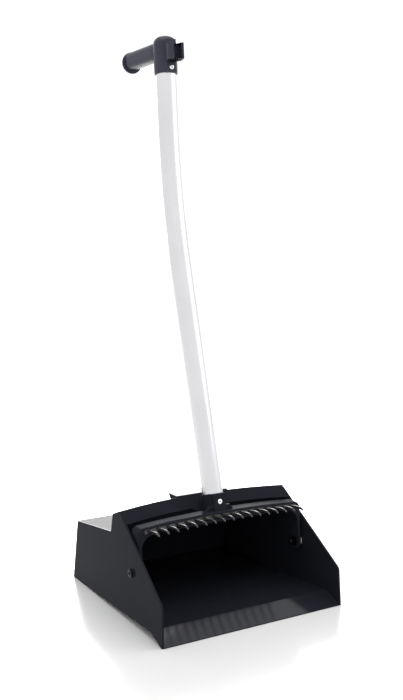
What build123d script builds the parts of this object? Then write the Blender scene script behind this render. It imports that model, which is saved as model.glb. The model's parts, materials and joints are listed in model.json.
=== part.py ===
"""Upright lobby dustpan: a hooded pan hung in a yoke with a comb, on a bent tube with a pistol grip.

Millimetres, +Z up, +Y to the rear, origin on the floor under the middle of the bounding box.
Lengths along Y are given as distances from the front lip: the planes made by side(), front()
and lean_plane() carry the shift.
"""
import os
from math import atan2, cos, radians, sin, sqrt

from build123d import *

os.makedirs("parts", exist_ok=True)

# ------------------------------------------------------------ pan, side outline
PAN_WIDTH = 305.0            # across the front lip
OVERALL_DEPTH = 380.0        # front lip to the rear end of the grip
WALL = 3.0
TAPER = 0.0208               # each side comes in this much per mm to the rear
DRAFT = 0.0253               # and this much per mm upwards
LIP_LAND = 3.0               # flat under the lip, on the floor
LIP_THICK = 1.2
RAMP_CREST = (35.0, 11.0)
FOOT_LAND = (308.0, 330.0)   # flat under the rear edge, on the floor
REAR_TOP = (313.5, 97.0)
DECK_FRONT = (175.8, 116.5)
BROW_PEAK = (165.5, 168.7)   # where the brow's front and rear faces would meet
BROW_FRONT = (145.0, 154.7)  # top front edge of the brow at the side walls
BROW_REAR = (170.2, 144.8)
MOUTH_TOP = (2.7, 57.7)      # upper end of the side walls' upright front edge
MOUTH_CORNER_R = 8.0
CORNER_R = 7.0
HEAD_EDGE_R = 2.5

BROW_ARCH = 7.7              # rise of the brow's top at mid width
LIP_LINE_END = 144.5         # brow's lower edge, measured up the mouth's slope
LIP_LINE_MID = 156.0
TONGUE_LINE = 149.0          # lower edge of the tongue behind the socket
TONGUE_HALF = 22.0
TONGUE_FLARE = 8.0           # the tongue widens by this much on each side to meet the lower edge
REST_HALF = 45.0             # half length of the finger rest on the brow
REST_FRONT = (153.5, 161.0)
REST_REAR = (180.0, 160.5)
REST_FOOT = (170.0, 149.0)

# ------------------------------------------------------------ hinge stack
PIVOT = (98.5, 76.3)
BOLT_R = 3.0
BOLT_HEAD_R = BOLT_R + 3.3
BOLT_HEAD_THICK = 3.4
KEY_R = 2.6                  # corner radius of the hexagonal socket in the bolt's head
KEY_DEEP = 1.8
BOSS_R = BOLT_R + 5.5
BOSS_PROUD_OUT = 0.9         # the wall's boss stands out this far on each side
BOSS_PROUD_IN = 0.8
WASHER_THICK = 2.5
SLEEVE_R = BOLT_R + 1.5
NUT_R = BOLT_R + 2.5
NUT_FLANGE_R = BOLT_R + 4.2
NUT_FLANGE_THICK = 1.4
NUT_HEX_HIGH = 4.0
NUT_DOME_HIGH = 4.6
BOLT_IN_NUT = 7.5
NUT_BORE_DEEP = 8.0
RUN_FIT = 0.06               # radial clearance of the yoke's eyes on the sleeves
SLIP = 0.2                   # between flat faces that slide past each other
SNUG = 0.05                  # between pieces assembled for good
BOLT_FIT = 0.15              # radial clearance of the bolt in the wall and the washer

# ------------------------------------------------------------ tube
TUBE_R = 16.0
TUBE_WALL = 1.3
LEAN_LOW = 15.15             # degrees rearward
LEAN_TOP = 3.95
BEND_R = 1200.0
TUBE_FOOT = (112.4, 134.0)   # middle of the tube's lower end
LOW_LONG = 382.0
TOP_LONG = 110.0

# ------------------------------------------------------------ yoke and comb
YOKE_FRONT = 91.5
YOKE_REAR = 114.0
ARM_THICK = 6.0
EYE_R = 12.0
ARM_FOOT = 60.0              # below the eyes, cut off round them
BAR_TOP_END = 140.8
BAR_TOP_MID = 146.0
BAR_HIGH = 11.5
OUTER_CORNER = 10.0
GUSSET_R = 20.0
SOCKET_WALL = 1.85
SOCKET_R = TUBE_R + SNUG + SOCKET_WALL
SOCKET_TOP = 33.6            # up the tube from its foot
SOCKET_FLOOR = 3.0
GUSSET_Y = 100.0             # small webs beside the socket
GUSSET_THICK = 5.0
GUSSET_HALF = 25.0
GUSSET_RISE = 7.0
SADDLE_GAP = 0.4             # between the socket and the brow's saddle
FLAT_FACE = TUBE_R + 2.9     # flat rivet pads, distance from the tube's middle
FLAT_HALF = 10.5
TEETH = 17
TOOTH_PITCH = 15.5
TOOTH_THICK = 3.4
# Edges of a tooth: reach in front of the bar and height from the bar's top.
TOOTH_UPPER = ((0.0, -4.0), (11.5, -1.8), (23.5, -0.9), (29.5, -1.9), (32.9, -5.0))
TOOTH_UNDER = ((31.7, -5.8), (28.5, -4.6), (21.5, -4.7), (11.5, -6.2), (0.0, -8.8))
TOOTH_EDGE = 0.5
RAIL_DROP = 3.0              # rail below the bar's top
RAIL_HIGH = 6.0
RAIL_DEEP = min(4.0, TUBE_FOOT[0] - TUBE_R - YOKE_FRONT - 0.9)   # clear of the tube's foot
TOOTH_ROOT = min(1.0, RAIL_DEEP / 2)   # how far a tooth reaches into its rail
RAIL_SHORT = 11.0            # the rail ends this far inside the yoke's arms' outer faces
RAIL_PROUD = 0.8

# ------------------------------------------------------------ grip
HEAD_R = TUBE_R + 2.2
HEAD_DOWN = 39.0             # from the tube's top end to the head's lower rim
HEAD_UP = 18.8
DOME_R = 12.0
GRIP_WIDE = 27.0
GRIP_HIGH = 27.0
GRIP_MID = 842.3
GRIP_WALL = 3.2
GRIP_NECK = 286.0            # where the grip reaches its full section
CAP_THICK = 6.0
GRIP_END = OVERALL_DEPTH - CAP_THICK
GRIP_CORE_FROM = 300.0       # the grip is hollow from here to its rear end
CAP_PLUG_LONG = min(16.0, GRIP_END - GRIP_CORE_FROM - 1.0)
FLANGE_R = 17.3
FLANGE_MID = 840.2
PLATE_FACE = HEAD_R + 2.5    # front of the clip's plate, distance from the tube's middle
PLATE_HALF = 8.5
PLATE_DEEP = 4.0
PLATE_LOW = -23.0
PLATE_HIGH = 11.5
CLIP_HIGH = 24.5
BROOM_R = 10.5
CLIP_WALL = 2.4
CLIP_MOUTH = 6.8
CLIP_LIP = 3.6               # how far the clip's flared lips reach out

# ------------------------------------------------------------ blind rivets
RIVET_R = 2.0
RIVET_HEAD_R = 3.7
RIVET_HEAD_THICK = 1.2
RIVET_BORE = 1.2
LOW_RIVET_AT = 20.9          # up the tube from its foot
TOP_RIVET_AT = -31.0         # up the tube from its top end

HALF = PAN_WIDTH / 2
LIP_Y = -OVERALL_DEPTH / 2
WALL_AT_PIVOT = HALF - TAPER * PIVOT[0] - DRAFT * PIVOT[1]
BOSS_OUT = WALL_AT_PIVOT + BOSS_PROUD_OUT
BOSS_IN = WALL_AT_PIVOT - WALL - BOSS_PROUD_IN
YOKE_HALF = BOSS_IN - WASHER_THICK - SLIP
RAIL_HALF = YOKE_HALF - RAIL_SHORT
SLOPE = atan2(BROW_FRONT[1] - MOUTH_TOP[1], BROW_FRONT[0] - MOUTH_TOP[0])
LOW = radians(LEAN_LOW)
TOP = radians(LEAN_TOP)
BEND_START = (TUBE_FOOT[0] + LOW_LONG * sin(LOW), TUBE_FOOT[1] + LOW_LONG * cos(LOW))
BEND_END = (BEND_START[0] + BEND_R * (cos(TOP) - cos(LOW)), BEND_START[1] + BEND_R * (sin(LOW) - sin(TOP)))
TUBE_TOP = (BEND_END[0] + TOP_LONG * sin(TOP), BEND_END[1] + TOP_LONG * cos(TOP))


def side(x=0.0):
    """Side view at x: local x is the distance from the lip, local y the height."""
    return Plane(origin=(x, LIP_Y, 0), x_dir=(0, 1, 0), z_dir=(1, 0, 0))


def front(y):
    """Front view at distance y from the lip: local x is X, local y the height, normal forward."""
    return Plane(origin=(0, LIP_Y + y, 0), x_dir=(1, 0, 0), z_dir=(0, -1, 0))


def lean_plane(point, lean, along=0.0):
    """Square to the tube at a point of its middle line: local y points to the rear."""
    place = (0, LIP_Y + point[0] + along * sin(lean), point[1] + along * cos(lean))
    return Plane(origin=place, x_dir=(1, 0, 0), z_dir=(0, sin(lean), cos(lean)))


def forward_plane(point, lean, along):
    """On the tube's middle line with its normal square to the tube, to the front."""
    place = (0, LIP_Y + point[0] + along * sin(lean), point[1] + along * cos(lean))
    return Plane(origin=place, x_dir=(1, 0, 0), z_dir=(0, -cos(lean), sin(lean)))


def wall_plane(hand, inset):
    """Tapered and drafted side of the pan, moved in by inset, normal outward."""
    normal = Vector(hand, TAPER, DRAFT).normalized()
    return Plane(origin=Vector(hand * HALF, LIP_Y, 0) - normal * inset, z_dir=normal)


def bar_top(x):
    """Height of the yoke bar's arched top at x."""
    return BAR_TOP_MID - (BAR_TOP_MID - BAR_TOP_END) * (x / (YOKE_HALF - OUTER_CORNER)) ** 2


def rail_band(inset):
    """Front view of the comb strip's arched rail, made smaller by inset all round."""
    end = RAIL_HALF - inset
    high = RAIL_DROP + inset
    low = RAIL_DROP + RAIL_HIGH - inset
    with BuildSketch() as band:
        with BuildLine():
            ThreePointArc((-end, bar_top(end) - high), (0, BAR_TOP_MID - high), (end, bar_top(end) - high))
            Line((end, bar_top(end) - high), (end, bar_top(end) - low))
            ThreePointArc((end, bar_top(end) - low), (0, BAR_TOP_MID - low), (-end, bar_top(end) - low))
            Line((-end, bar_top(end) - low), (-end, bar_top(end) - high))
        make_face()
    return band.sketch


def plate_section(inset):
    """Dovetail section of the clip's plate across the tube, made smaller by inset at the flanks."""
    back = PLATE_DEEP - PLATE_FACE
    with BuildSketch() as section:
        with BuildLine():
            Polyline(
                (-PLATE_HALF + inset, -PLATE_FACE), (PLATE_HALF - inset, -PLATE_FACE),
                (PLATE_HALF - inset, -HEAD_R + 0.6), (PLATE_HALF + 1.2 - inset, back - inset),
                (-PLATE_HALF - 1.2 + inset, back - inset), (-PLATE_HALF + inset, -HEAD_R + 0.6), close=True,
            )
        make_face()
    return section.sketch


# ============================================================ pan shell
MOUTH = Plane(
    origin=(0, LIP_Y + MOUTH_TOP[0], MOUTH_TOP[1]),
    x_dir=(1, 0, 0),
    z_dir=(0, -sin(SLOPE), cos(SLOPE)),
)
BROW_FALL = atan2(BROW_FRONT[1] - BROW_REAR[1], BROW_REAR[0] - BROW_FRONT[0])
BROW_TOP = Plane(
    origin=(0, LIP_Y + BROW_FRONT[0], BROW_FRONT[1]),
    x_dir=(1, 0, 0),
    z_dir=(0, -cos(BROW_FALL), sin(BROW_FALL)),
)


def pan_outline(inset):
    """Side outline of the pan, moved in by inset."""
    with BuildSketch(side()) as outline:
        with BuildLine():
            Polyline(
                (0, 0), (LIP_LAND, 0), RAMP_CREST, (FOOT_LAND[0], 0), (FOOT_LAND[1], 0),
                REAR_TOP, DECK_FRONT, BROW_PEAK, MOUTH_TOP, close=True,
            )
        make_face()
        if inset:
            offset(amount=-inset, kind=Kind.INTERSECTION)
        fillet(outline.vertices().sort_by_distance(DECK_FRONT)[0], CORNER_R - 2 + inset)
        fillet(outline.vertices().sort_by_distance(MOUTH_TOP)[0], MOUTH_CORNER_R - inset)
    return outline.sketch


def is_rear_upright(edge):
    """The two upright edges between the rear wall and the sides."""
    middle = edge.center()
    return abs(middle.X) > 120 and middle.Y > LIP_Y + 300 and 20 < middle.Z < 80


def is_rear_foot(edge):
    """The bottom edge of the rear wall."""
    middle = edge.center()
    return abs(middle.X) < 5 and middle.Y > LIP_Y + 315 and middle.Z < 20


def is_rear_head(edge):
    """The top edge of the rear wall."""
    middle = edge.center()
    return abs(middle.X) < 5 and middle.Y > LIP_Y + 300 and middle.Z > 80


def over_brow(drop):
    """Everything above the brow's arched top, lowered by drop."""
    edge = HALF - TAPER * BROW_FRONT[0] - DRAFT * BROW_FRONT[1]
    with BuildPart() as above:
        with BuildSketch(BROW_TOP):
            with BuildLine():
                ThreePointArc((-edge, -drop), (0, BROW_ARCH - drop), (edge, -drop))
                Polyline((edge, -drop), (HALF, -drop), (HALF, 60), (-HALF, 60), (-HALF, -drop), (-edge, -drop))
            make_face()
        extrude(amount=32, both=True)
    return above.part


OUTER_FACE = pan_outline(0)
INNER_FACE = pan_outline(WALL)
OVER_BROW = over_brow(0)
OVER_HOLLOW = over_brow(WALL)

with BuildPart() as hollow:
    extrude(INNER_FACE, amount=HALF, both=True)
    with BuildSketch(side()):
        with BuildLine():
            ramp = (RAMP_CREST[1] + WALL - LIP_THICK) / RAMP_CREST[0]
            Polyline(
                (-10, LIP_THICK - 10 * ramp), (RAMP_CREST[0], RAMP_CREST[1] + WALL),
                (50, RAMP_CREST[1] + WALL), (50, 110), (-10, 110), close=True,
            )
        make_face()
    extrude(amount=HALF, both=True)
    with BuildSketch(MOUTH) as opening:
        with BuildLine():
            step = TONGUE_HALF + TONGUE_FLARE
            mid = (LIP_LINE_END + LIP_LINE_MID) / 2 + 2.5
            ThreePointArc((-HALF, LIP_LINE_END), (-0.58 * HALF, mid), (-step, LIP_LINE_MID - 0.5))
            Polyline(
                (-step, LIP_LINE_MID - 0.5), (-TONGUE_HALF, TONGUE_LINE), (TONGUE_HALF, TONGUE_LINE),
                (step, LIP_LINE_MID - 0.5),
            )
            ThreePointArc((step, LIP_LINE_MID - 0.5), (0.58 * HALF, mid), (HALF, LIP_LINE_END))
            Polyline((HALF, LIP_LINE_END), (HALF, 20), (-HALF, 20), (-HALF, LIP_LINE_END))
        make_face()
        fillet(opening.vertices().filter_by(lambda v: abs(v.X) < step + 1), 4)
    extrude(amount=8)
    extrude(opening.sketch, amount=-WALL - 1)
    split(bisect_by=wall_plane(1, WALL), keep=Keep.BOTTOM)
    split(bisect_by=wall_plane(-1, WALL), keep=Keep.BOTTOM)
    add(OVER_HOLLOW, mode=Mode.SUBTRACT)
    fillet(hollow.edges().filter_by(is_rear_upright) + hollow.edges().filter_by(is_rear_foot), CORNER_R - WALL)

with BuildPart() as saddle_skin:
    with BuildSketch(lean_plane(TUBE_FOOT, LOW)):
        Circle(SOCKET_R + SADDLE_GAP + WALL)
    extrude(amount=40)
    tongue_cut = Plane(origin=MOUTH.from_local_coords((0, TONGUE_LINE, 0)), z_dir=MOUTH.y_dir)
    split(bisect_by=tongue_cut, keep=Keep.TOP)

with BuildPart() as pan_shell:
    extrude(OUTER_FACE, amount=HALF + 5, both=True)
    split(bisect_by=wall_plane(1, 0), keep=Keep.BOTTOM)
    split(bisect_by=wall_plane(-1, 0), keep=Keep.BOTTOM)
    add(OVER_BROW, mode=Mode.SUBTRACT)
    fillet(pan_shell.edges().filter_by(is_rear_upright) + pan_shell.edges().filter_by(is_rear_foot), CORNER_R)
    fillet(pan_shell.edges().filter_by(is_rear_head), HEAD_EDGE_R)
    with BuildSketch(side()):
        with BuildLine():
            Polyline(BROW_FRONT, REST_FRONT, REST_REAR, REST_FOOT, close=True)
        make_face()
    extrude(amount=REST_HALF, both=True)
    add(hollow.part - saddle_skin.part, mode=Mode.SUBTRACT)
    with BuildSketch(lean_plane(TUBE_FOOT, LOW, -10)):
        Circle(SOCKET_R + SADDLE_GAP)
    extrude(amount=60, mode=Mode.SUBTRACT)
    for hand in (-1, 1):
        with BuildSketch(side(hand * BOSS_IN)):
            with Locations(PIVOT):
                Circle(BOSS_R)
        extrude(amount=hand * (BOSS_OUT - BOSS_IN))
        with BuildSketch(side(hand * (BOSS_IN - 1))):
            with Locations(PIVOT):
                Circle(BOLT_R + BOLT_FIT)
        extrude(amount=hand * 10, mode=Mode.SUBTRACT)

pan_shell.part.label = "pan_shell"
export_step(pan_shell.part, "parts/pan_shell.step")

# ============================================================ hinge hardware
for hand, word in ((-1, "left"), (1, "right")):
    with BuildPart() as pivot_bolt:
        with BuildSketch(side(hand * BOSS_OUT)):
            with Locations(PIVOT):
                Circle(BOLT_HEAD_R)
        extrude(amount=hand * BOLT_HEAD_THICK)
        crown = pivot_bolt.faces().sort_by(Axis.X)[-1 if hand > 0 else 0]
        fillet(crown.edges(), BOLT_HEAD_THICK - 1.0)
        with BuildSketch(side(hand * BOSS_OUT)):
            with Locations(PIVOT):
                Circle(BOLT_R)
        extrude(amount=-hand * (BOSS_OUT - YOKE_HALF + ARM_THICK + BOLT_IN_NUT))
        with BuildSketch(side(hand * (BOSS_OUT + BOLT_HEAD_THICK))):
            with Locations(PIVOT):
                RegularPolygon(KEY_R, 6)
        extrude(amount=-hand * KEY_DEEP, mode=Mode.SUBTRACT)
    pivot_bolt.part.label = f"{word}_pivot_bolt"
    export_step(pivot_bolt.part, f"parts/{word}_pivot_bolt.step")

    with BuildPart() as pivot_washer:
        with BuildSketch(side(hand * BOSS_IN)):
            with Locations(PIVOT):
                Circle(BOSS_R - 0.5)
                Circle(BOLT_R + BOLT_FIT, mode=Mode.SUBTRACT)
        extrude(amount=-hand * WASHER_THICK)
    pivot_washer.part.label = f"{word}_pivot_washer"
    export_step(pivot_washer.part, f"parts/{word}_pivot_washer.step")

    with BuildPart() as pivot_sleeve:
        with BuildSketch(side(hand * (YOKE_HALF + SLIP))):
            with Locations(PIVOT):
                Circle(SLEEVE_R)
                Circle(BOLT_R + SNUG, mode=Mode.SUBTRACT)
        extrude(amount=-hand * (ARM_THICK + 2 * SLIP))
    pivot_sleeve.part.label = f"{word}_pivot_sleeve"
    export_step(pivot_sleeve.part, f"parts/{word}_pivot_sleeve.step")

    nut_seat = YOKE_HALF - ARM_THICK - SLIP
    with BuildPart() as pivot_nut:
        with BuildSketch(side(hand * nut_seat)):
            with Locations(PIVOT):
                Circle(NUT_FLANGE_R)
        extrude(amount=-hand * NUT_FLANGE_THICK)
        with BuildSketch(side(hand * (nut_seat - NUT_FLANGE_THICK))):
            with Locations(PIVOT):
                RegularPolygon(NUT_R, 6)
        extrude(amount=-hand * NUT_HEX_HIGH)
        with BuildSketch(side(hand * (nut_seat - NUT_FLANGE_THICK - NUT_HEX_HIGH))):
            with Locations(PIVOT):
                Circle(NUT_R - 1.2)
        extrude(amount=-hand * NUT_DOME_HIGH)
        dome = pivot_nut.faces().sort_by(Axis.X)[0 if hand > 0 else -1]
        fillet(dome.edges(), 3.4)
        with BuildSketch(side(hand * nut_seat)):
            with Locations(PIVOT):
                Circle(BOLT_R + SNUG)
        extrude(amount=-hand * NUT_BORE_DEEP, mode=Mode.SUBTRACT)
    pivot_nut.part.label = f"{word}_pivot_nut"
    export_step(pivot_nut.part, f"parts/{word}_pivot_nut.step")

# ============================================================ yoke
RAIL_SLOT = rail_band(0)
RAIL = rail_band(SNUG)

with BuildPart() as yoke:
    with BuildSketch(front(0)):
        with BuildLine():
            top_x = YOKE_HALF - OUTER_CORNER
            inner = YOKE_HALF - ARM_THICK
            low = BAR_TOP_END - BAR_HIGH
            ThreePointArc((-top_x, BAR_TOP_END), (0, BAR_TOP_MID), (top_x, BAR_TOP_END))
            RadiusArc((top_x, BAR_TOP_END), (YOKE_HALF, BAR_TOP_END - OUTER_CORNER), OUTER_CORNER)
            Polyline(
                (YOKE_HALF, BAR_TOP_END - OUTER_CORNER), (YOKE_HALF, ARM_FOOT), (inner, ARM_FOOT),
                (inner, low - GUSSET_R),
            )
            RadiusArc((inner, low - GUSSET_R), (inner - GUSSET_R, low), -GUSSET_R)
            ThreePointArc((inner - GUSSET_R, low), (0, BAR_TOP_MID - BAR_HIGH), (GUSSET_R - inner, low))
            RadiusArc((GUSSET_R - inner, low), (-inner, low - GUSSET_R), -GUSSET_R)
            Polyline(
                (-inner, low - GUSSET_R), (-inner, ARM_FOOT), (-YOKE_HALF, ARM_FOOT),
                (-YOKE_HALF, BAR_TOP_END - OUTER_CORNER),
            )
            RadiusArc((-YOKE_HALF, BAR_TOP_END - OUTER_CORNER), (-top_x, BAR_TOP_END), OUTER_CORNER)
        make_face()
    extrude(amount=-YOKE_REAR - 5)
    with BuildSketch(side()):
        with Locations(PIVOT):
            Circle(EYE_R)
        with BuildLine():
            Polyline(
                (PIVOT[0] - EYE_R, PIVOT[1]), (PIVOT[0] + EYE_R, PIVOT[1]), (YOKE_REAR, low),
                (YOKE_REAR, BAR_TOP_MID + 5), (YOKE_FRONT, BAR_TOP_MID + 5), (YOKE_FRONT, low), close=True,
            )
        make_face()
    extrude(amount=HALF, both=True, mode=Mode.INTERSECT)
    bar_edges = yoke.edges().filter_by(
        lambda e: e.center().Z > BAR_TOP_END - 2 and e.length > 200
    )
    fillet(bar_edges, 3.0)
    with BuildSketch(front(GUSSET_Y)):
        with BuildLine():
            Polyline(
                (-GUSSET_HALF, BAR_TOP_MID - 3), (-SOCKET_R, BAR_TOP_MID + GUSSET_RISE),
                (SOCKET_R, BAR_TOP_MID + GUSSET_RISE), (GUSSET_HALF, BAR_TOP_MID - 3), close=True,
            )
        make_face()
    extrude(amount=-GUSSET_THICK)
    with BuildSketch(lean_plane(TUBE_FOOT, LOW, -SOCKET_FLOOR)):
        Circle(SOCKET_R)
        with Locations((0, -FLAT_FACE / 2)):
            Rectangle(2 * FLAT_HALF, FLAT_FACE)
    extrude(amount=SOCKET_FLOOR + SOCKET_TOP)
    rim = yoke.faces().sort_by(Axis((0, 0, 0), (0, sin(LOW), cos(LOW))))[-1]
    fillet(rim.edges(), 0.6)
    with BuildSketch(lean_plane(TUBE_FOOT, LOW)):
        Circle(TUBE_R + SNUG)
    extrude(amount=SOCKET_TOP + 5, mode=Mode.SUBTRACT)
    with BuildSketch(side()):
        with Locations(PIVOT):
            Circle(SLEEVE_R + RUN_FIT)
    extrude(amount=HALF, both=True, mode=Mode.SUBTRACT)
    with BuildSketch(forward_plane(TUBE_FOOT, LOW, LOW_RIVET_AT)):
        Circle(RIVET_R + SNUG)
    extrude(amount=FLAT_FACE + 2, mode=Mode.SUBTRACT)
    with BuildSketch(front(YOKE_FRONT - 1)):
        add(RAIL_SLOT)
    extrude(amount=-RAIL_DEEP - 1, mode=Mode.SUBTRACT)
yoke.part.label = "yoke"
export_step(yoke.part, "parts/yoke.step")

# ============================================================ comb strip
with BuildPart() as tooth:
    with BuildSketch(side()) as claw:
        with BuildLine():
            upper = [(YOKE_FRONT - reach, high) for reach, high in TOOTH_UPPER]
            under = [(YOKE_FRONT - reach, high) for reach, high in TOOTH_UNDER]
            Spline(upper)
            Line(upper[-1], under[0])
            Spline(under)
            root_y = YOKE_FRONT + TOOTH_ROOT
            Polyline(under[-1], (root_y, under[-1][1]), (root_y, upper[0][1]), upper[0])
        make_face()
    extrude(amount=TOOTH_THICK / 2, both=True)
    claw_sides = tooth.faces().filter_by(Axis.X)
    fillet(claw_sides.edges().filter_by(lambda e: e.length > 15), TOOTH_EDGE)

with BuildPart() as comb_strip:
    with BuildSketch(front(YOKE_FRONT)):
        add(RAIL)
    extrude(amount=-RAIL_DEEP + SNUG)
    extrude(comb_strip.faces().sort_by(Axis.Y)[0], amount=RAIL_PROUD)
    for number in range(TEETH):
        place = (number - (TEETH - 1) / 2) * TOOTH_PITCH
        with Locations((place, 0, bar_top(place))):
            add(tooth.part)
comb_strip.part.label = "comb_strip"
export_step(comb_strip.part, "parts/comb_strip.step")

# ============================================================ tube
with BuildPart() as tube:
    with BuildLine(side()) as tube_line:
        low_run = Line(TUBE_FOOT, BEND_START)
        bend = JernArc(start=low_run @ 1, tangent=low_run % 1, radius=BEND_R, arc_size=LEAN_LOW - LEAN_TOP)
        top_run = Line(bend @ 1, bend @ 1 + (bend % 1) * TOP_LONG)
    with BuildSketch(lean_plane(TUBE_FOOT, LOW)):
        Circle(TUBE_R)
        Circle(TUBE_R - TUBE_WALL, mode=Mode.SUBTRACT)
    sweep(path=tube_line.wire())
    for spot, lean, along in ((TUBE_FOOT, LOW, LOW_RIVET_AT), (TUBE_TOP, TOP, TOP_RIVET_AT)):
        with BuildSketch(forward_plane(spot, lean, along)):
            Circle(RIVET_R + SNUG)
        extrude(amount=FLAT_FACE, mode=Mode.SUBTRACT)
tube.part.label = "tube"
export_step(tube.part, "parts/tube.step")

# ============================================================ blind rivets
for word, spot, lean, along in (
    ("lower", TUBE_FOOT, LOW, LOW_RIVET_AT), ("upper", TUBE_TOP, TOP, TOP_RIVET_AT),
):
    aim = forward_plane(spot, lean, along)
    inside = TUBE_R - TUBE_WALL
    with BuildPart() as rivet:
        with BuildSketch(aim.offset(FLAT_FACE)):
            Circle(RIVET_HEAD_R)
        extrude(amount=RIVET_HEAD_THICK)
        fillet(rivet.edges().filter_by(GeomType.CIRCLE), RIVET_HEAD_THICK / 2 - 0.05)
        with BuildSketch(aim.offset(inside - 2.4)):
            Circle(RIVET_R)
        extrude(amount=FLAT_FACE - inside + 2.6)
        with BuildSketch(aim.offset(inside - 2.4)):
            Circle(RIVET_R + 0.9)
        extrude(amount=2.0)
        with BuildSketch(aim.offset(inside - 3)):
            Circle(RIVET_BORE)
        extrude(amount=10, mode=Mode.SUBTRACT)
    rivet.part.label = f"{word}_rivet"
    export_step(rivet.part, f"parts/{word}_rivet.step")

    with BuildPart() as mandrel:
        with BuildSketch(aim.offset(inside - 2.5)):
            Circle(RIVET_BORE - SNUG)
        extrude(amount=FLAT_FACE - inside + 2.0)
        with BuildSketch(aim.offset(inside - 2.5)):
            Circle(RIVET_R)
        extrude(amount=-2.2)
        fillet(mandrel.faces().sort_by(Axis.Y)[-1].edges(), 1.2)
    mandrel.part.label = f"{word}_rivet_mandrel"
    export_step(mandrel.part, f"parts/{word}_rivet_mandrel.step")

# ============================================================ grip head
PLATE_SLOT = plate_section(0)
PLATE = plate_section(SNUG)

with BuildPart() as grip_core:
    with BuildSketch(front(GRIP_CORE_FROM)):
        with Locations((0, GRIP_MID)):
            RectangleRounded(GRIP_WIDE - 2 * GRIP_WALL, GRIP_HIGH - 2 * GRIP_WALL, 6)
    extrude(amount=-(GRIP_END + 5 - GRIP_CORE_FROM))

with BuildPart() as grip_head:
    with BuildSketch(lean_plane(TUBE_TOP, TOP, -HEAD_DOWN)):
        Circle(HEAD_R)
    extrude(amount=HEAD_DOWN + HEAD_UP)
    fillet(grip_head.edges().sort_by(Axis.Z)[-1], DOME_R)
    with BuildSketch(lean_plane(TUBE_TOP, TOP, -HEAD_DOWN)):
        with Locations((0, -FLAT_FACE / 2)):
            Rectangle(2 * FLAT_HALF - 3, FLAT_FACE)
    extrude(amount=HEAD_DOWN + PLATE_LOW - SNUG)
    with BuildSketch(front(GRIP_NECK - 22)):
        with Locations((0, GRIP_MID + 1)):
            RectangleRounded(GRIP_WIDE - 5, GRIP_HIGH - 2, 8)
    with BuildSketch(front(GRIP_NECK)):
        with Locations((0, GRIP_MID + 0.6)):
            RectangleRounded(GRIP_WIDE - 2, GRIP_HIGH, 9)
    with BuildSketch(front(GRIP_END)):
        with Locations((0, GRIP_MID)):
            RectangleRounded(GRIP_WIDE, GRIP_HIGH, 10)
    loft(ruled=True)
    add(grip_core.part, mode=Mode.SUBTRACT)
    with BuildSketch(lean_plane(TUBE_TOP, TOP, -HEAD_DOWN - 1)):
        Circle(TUBE_R + SNUG)
    extrude(amount=HEAD_DOWN + 1 + SLIP, mode=Mode.SUBTRACT)
    with BuildSketch(lean_plane(TUBE_TOP, TOP, PLATE_LOW)):
        add(PLATE_SLOT)
    extrude(amount=HEAD_UP - PLATE_LOW + 5, mode=Mode.SUBTRACT)
    with BuildSketch(forward_plane(TUBE_TOP, TOP, TOP_RIVET_AT)):
        Circle(RIVET_R + SNUG)
    extrude(amount=FLAT_FACE + 2, mode=Mode.SUBTRACT)
grip_head.part.label = "grip_head"
export_step(grip_head.part, "parts/grip_head.step")

with BuildPart() as grip_end_cap:
    with BuildSketch(front(GRIP_END)):
        with Locations((0, FLANGE_MID)):
            Circle(FLANGE_R)
    extrude(amount=-(OVERALL_DEPTH - GRIP_END))
    fillet(grip_end_cap.edges().sort_by(Axis.Y)[-1], 3.5)
    fillet(grip_end_cap.edges().sort_by(Axis.Y)[0], 1.5)
    with BuildSketch(front(GRIP_END)):
        with Locations((0, GRIP_MID)):
            RectangleRounded(GRIP_WIDE - 2 * GRIP_WALL - 2 * SNUG, GRIP_HIGH - 2 * GRIP_WALL - 2 * SNUG, 6)
            RectangleRounded(GRIP_WIDE - 4 * GRIP_WALL, GRIP_HIGH - 4 * GRIP_WALL, 4, mode=Mode.SUBTRACT)
    extrude(amount=CAP_PLUG_LONG)
grip_end_cap.part.label = "grip_end_cap"
export_step(grip_end_cap.part, "parts/grip_end_cap.step")

# ============================================================ broom clip
with BuildPart() as broom_clip:
    with BuildSketch(lean_plane(TUBE_TOP, TOP, PLATE_LOW + SNUG)):
        add(PLATE)
    extrude(amount=PLATE_HIGH - PLATE_LOW)
    clip_mid = -(PLATE_FACE + BROOM_R)
    with BuildSketch(lean_plane(TUBE_TOP, TOP, PLATE_LOW + SNUG)):
        with Locations((0, clip_mid)):
            Circle(BROOM_R + CLIP_WALL)
            Circle(BROOM_R, mode=Mode.SUBTRACT)
        with Locations((0, clip_mid - BROOM_R - 4)):
            Rectangle(2 * CLIP_MOUTH, BROOM_R + 3.5, mode=Mode.SUBTRACT)
        root = clip_mid - sqrt(BROOM_R**2 - CLIP_MOUTH**2)
        for hand in (-1, 1):
            with BuildLine():
                Polyline(
                    (hand * CLIP_MOUTH, root), (hand * (CLIP_MOUTH + 2.2), root - CLIP_LIP),
                    (hand * (CLIP_MOUTH + 3.4), root - CLIP_LIP + 0.6), (hand * (CLIP_MOUTH + 2.6), root + 1.0),
                    close=True,
                )
            make_face()
    extrude(amount=CLIP_HIGH)
broom_clip.part.label = "broom_clip"
export_step(broom_clip.part, "parts/broom_clip.step")
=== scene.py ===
"""Looks of an upright lobby dustpan.

A hooded pan hangs in a yoke with a comb, on a bent tube with a pistol grip.

Metres, +Z up, +Y to the rear, origin on the floor under the middle of the object. Each sub-assembly is a
class that builds its pieces and dresses them; each finish is a frozen dataclass that builds one material.
"""

import json
import logging
import math
from abc import ABC, abstractmethod
from dataclasses import dataclass, field
from enum import Enum
from typing import Any

import bmesh
import bpy
from mathutils import Matrix, Vector

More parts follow.
